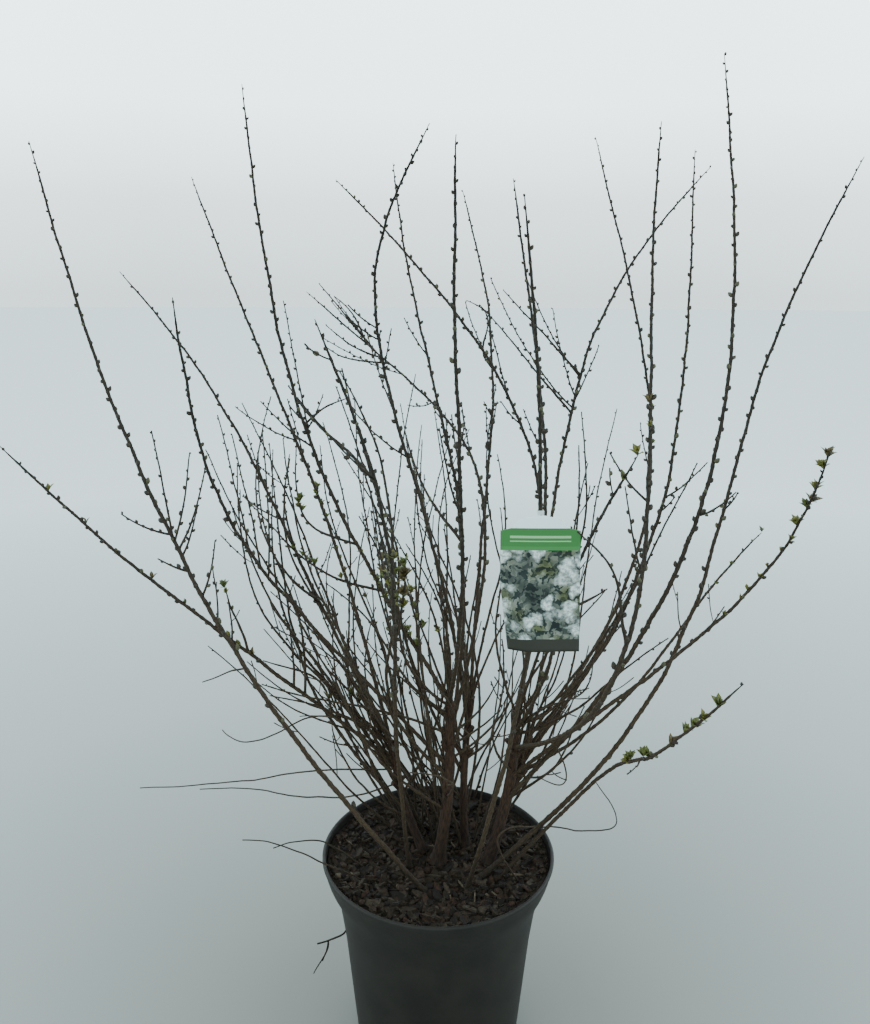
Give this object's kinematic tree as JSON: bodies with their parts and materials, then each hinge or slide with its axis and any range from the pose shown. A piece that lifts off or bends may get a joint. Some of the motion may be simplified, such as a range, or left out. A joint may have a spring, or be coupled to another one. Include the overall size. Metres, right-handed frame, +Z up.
{
  "type": "potted snowmound spirea",
  "caption": "Bare early-spring flowering shrub of arching budded canes on short old stems, in a black nursery pot of bark mix with a blank picture label.",
  "frame": {"origin": "middle of the pot's flat underside, on the surface it stands on", "axes": "+Z up; the front, with the label, faces -Y; +X is to the right of the front"},
  "size_m": [0.9607, 0.8171, 1.1753],
  "materials": {
    "pot_plastic": "black moulded nursery pot, slightly satin",
    "bark_mix": "dark damp bark chips and peat",
    "old_bark": "rough red-brown old bark",
    "cane_bark": "smooth red-brown bark with fine ridges",
    "shoot_bark": "thin grey-brown shoots with dark buds",
    "printed_card": "thin glossy printed card with no words",
    "loop_plastic": "white thin plastic"
  },
  "bodies": {
    "root": {"bough_back_high": "cane_bark", "bough_back_left_fan": "cane_bark", "bough_back_left_high": "cane_bark", "bough_back_middle": "cane_bark", "bough_back_right_arch": "cane_bark", "bough_back_right_high": "cane_bark", "bough_back_right_low": "cane_bark", "bough_crossing": "cane_bark", "bough_front_high": "cane_bark", "bough_front_left": "cane_bark", "bough_front_left_fan": "cane_bark", "bough_front_middle": "cane_bark", "bough_front_right": "cane_bark", "bough_front_right_high": "cane_bark", "bough_left_high": "cane_bark", "bough_left_long": "cane_bark", "bough_left_low": "cane_bark", "bough_left_outer": "cane_bark", "bough_middle_high": "cane_bark", "bough_right_back": "cane_bark", "bough_right_highest": "cane_bark", "bough_right_inner": "cane_bark", "bough_right_long": "cane_bark", "bough_right_low": "cane_bark", "bough_right_lowest": "cane_bark", "label_card": "printed_card", "label_loop": "loop_plastic", "pot": "pot_plastic", "potting_mix": "bark_mix", "shoots_back_high": "shoot_bark", "shoots_back_left_fan": "shoot_bark", "shoots_back_left_high": "shoot_bark", "shoots_back_middle": "shoot_bark", "shoots_back_right_arch": "shoot_bark", "shoots_back_right_high": "shoot_bark", "shoots_back_right_low": "shoot_bark", "shoots_crossing": "shoot_bark", "shoots_front_high": "shoot_bark", "shoots_front_left": "shoot_bark", "shoots_front_left_fan": "shoot_bark", "shoots_front_middle": "shoot_bark", "shoots_front_right": "shoot_bark", "shoots_front_right_high": "shoot_bark", "shoots_left_high": "shoot_bark", "shoots_left_long": "shoot_bark", "shoots_left_low": "shoot_bark", "shoots_left_outer": "shoot_bark", "shoots_middle_high": "shoot_bark", "shoots_right_back": "shoot_bark", "shoots_right_highest": "shoot_bark", "shoots_right_inner": "shoot_bark", "shoots_right_long": "shoot_bark", "shoots_right_low": "shoot_bark", "shoots_right_lowest": "shoot_bark", "stem_back_left": "old_bark", "stem_back_right": "old_bark", "stem_left": "old_bark", "stem_middle": "old_bark", "stem_right": "old_bark"}
  },
  "joints": []
}
